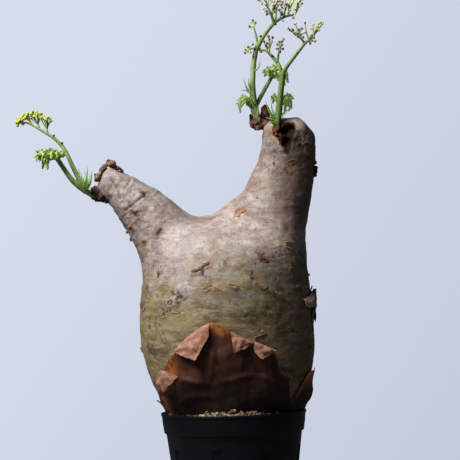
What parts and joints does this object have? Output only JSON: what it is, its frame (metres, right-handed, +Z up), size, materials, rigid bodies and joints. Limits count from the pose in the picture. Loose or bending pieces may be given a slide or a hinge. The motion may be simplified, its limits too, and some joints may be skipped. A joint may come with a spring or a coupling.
{
  "type": "potted caudex succulent",
  "caption": "Swollen bottle-shaped caudex plant with blunt arms, torn papery bark and young flowering shoots, standing in a tall round slit pot.",
  "frame": {"origin": "centre of the underside of the pot", "axes": "+Z up along the pot's axis; the front, which the picture shows, faces -Y; the leaning arm with the flower stalk points to -X"},
  "size_m": [0.2531, 0.1319, 0.4436],
  "materials": {
    "pot_plastic": "black moulded plastic with a dull sheen",
    "soil_grit": "loose mineral granules in tan, cream and brown",
    "caudex_bark": "smooth live bark, grey-beige above and olive green below, finely cracked",
    "paper_bark": "thin peeling bark, red-brown, with a soft sheen",
    "dead_tissue": "rough dry dead tissue, dark brown",
    "green_shoot": "fleshy green stems, leaves and buds, finely downy"
  },
  "bodies": {
    "root": {"pot": "pot_plastic", "soil": "soil_grit", "caudex": "caudex_bark", "papery_bark": "paper_bark", "bark_curl": "paper_bark", "left_stub": "dead_tissue", "left_old_bark": "dead_tissue", "right_stub": "dead_tissue", "right_old_bark": "dead_tissue", "left_shoot": "green_shoot", "tall_shoot": "green_shoot", "forked_shoot": "green_shoot"}
  },
  "joints": []
}
